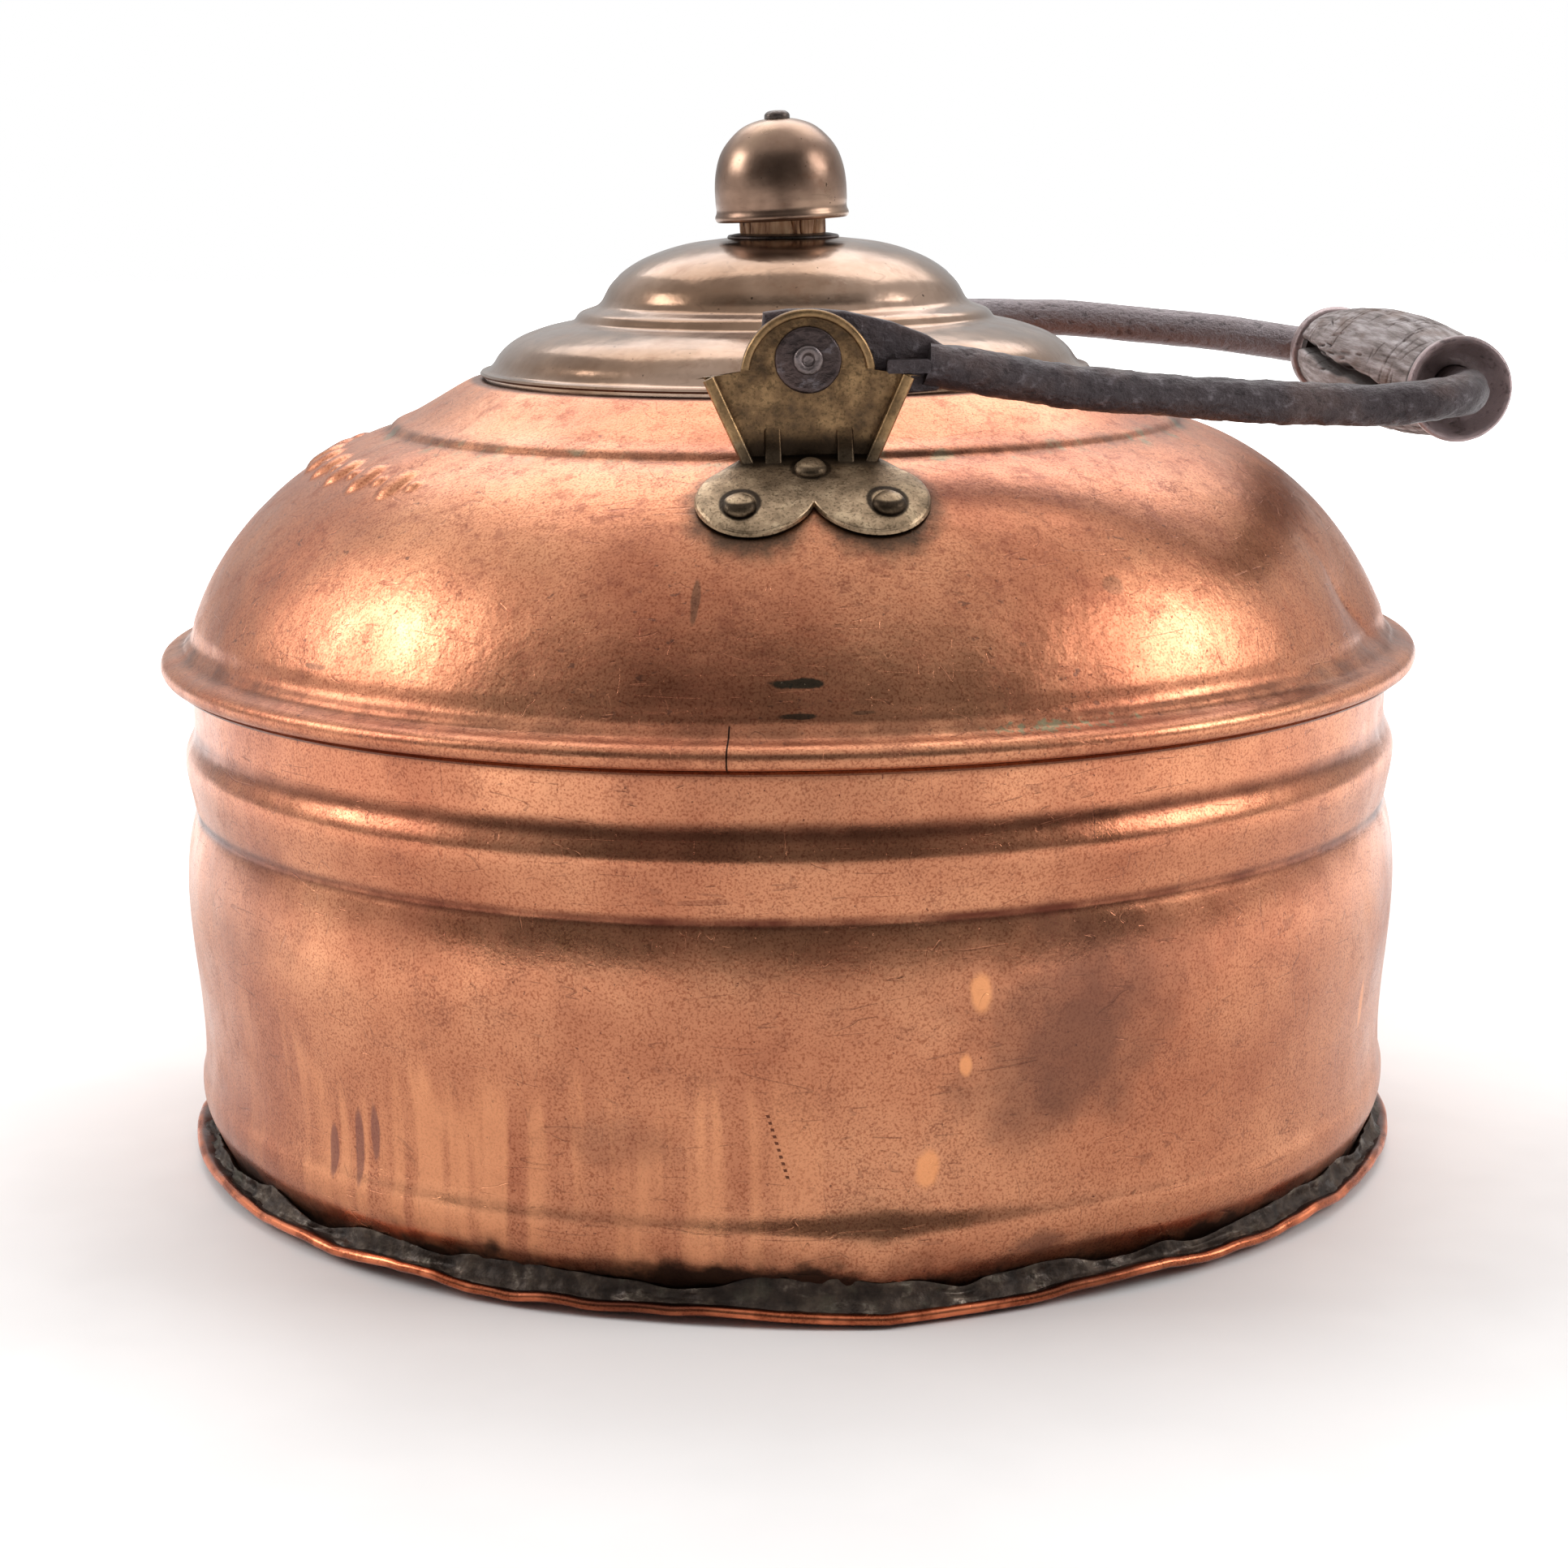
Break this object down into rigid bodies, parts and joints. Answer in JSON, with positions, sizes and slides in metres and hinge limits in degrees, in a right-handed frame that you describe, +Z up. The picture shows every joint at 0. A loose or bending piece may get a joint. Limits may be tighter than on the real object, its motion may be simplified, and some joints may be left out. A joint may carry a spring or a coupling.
{
  "type": "stove kettle",
  "caption": "Round copper kettle with a domed shoulder, gooseneck spout, lift-off knobbed lid and an iron swing handle with a turned wooden grip.",
  "frame": {"origin": "centre of the base plate's resting face", "axes": "+Z up along the body's axis, +Y towards the spout, +X towards the resting handle's grip"},
  "size_m": [0.2549, 0.3066, 0.2007],
  "materials": {
    "copper": "aged copper, warm and worn, with brown patina",
    "solder": "lumpy dark grey solder and soot",
    "brass": "dull aged brass",
    "copper_trim": "dull copper",
    "iron": "dark iron with a crusty skin",
    "ferrule": "worn dark iron",
    "grip_wood": "weathered grey wood with long cracks",
    "bronze": "glossy brown and olive patina",
    "knob_wood": "light brown wood with dark cracks",
    "hardware": "dull iron"
  },
  "bodies": {
    "kettle_body": {"base_plate": "copper", "base_solder": "solder", "body_wall": "copper", "shoulder_dome": "copper", "spout_tube": "copper", "spout_collar": "copper", "spout_lip": "copper", "ear_back": "brass", "ear_front": "brass", "ear_rivets_back": "brass", "ear_rivets_front": "brass", "rivet_burrs_back": "copper_trim", "rivet_burrs_front": "copper_trim", "pivot_pin_back": "iron", "pivot_pin_front": "iron", "pivot_washer_back": "iron", "pivot_washer_front": "iron"},
    "bail": {"bail_rod": "iron"},
    "grip": {"grip_wood": "grip_wood", "grip_ferrule_back": "ferrule", "grip_ferrule_front": "ferrule"},
    "lid": {"lid_shell": "bronze", "lid_skirt": "bronze", "knob_washer": "bronze", "knob_neck": "knob_wood", "knob_cap": "bronze", "knob_screw": "hardware", "knob_nut": "hardware", "knob_burr": "hardware"}
  },
  "joints": [
    {"name": "bail_swing", "type": "hinge", "parent": "kettle_body", "child": "bail", "pos_m": [0, 0, 0.1583], "axis": [0, -1, 0], "range_deg": [0, 188.6]},
    {"name": "grip_spin", "type": "hinge", "parent": "bail", "child": "grip", "pos_m": [0.1205, 0, 0.1493], "axis": [0, 1, 0], "continuous": true},
    {"name": "lid_lift", "type": "slide", "parent": "kettle_body", "child": "lid", "axis": [0, 0, 1], "range_m": [0, 0.12]}
  ]
}
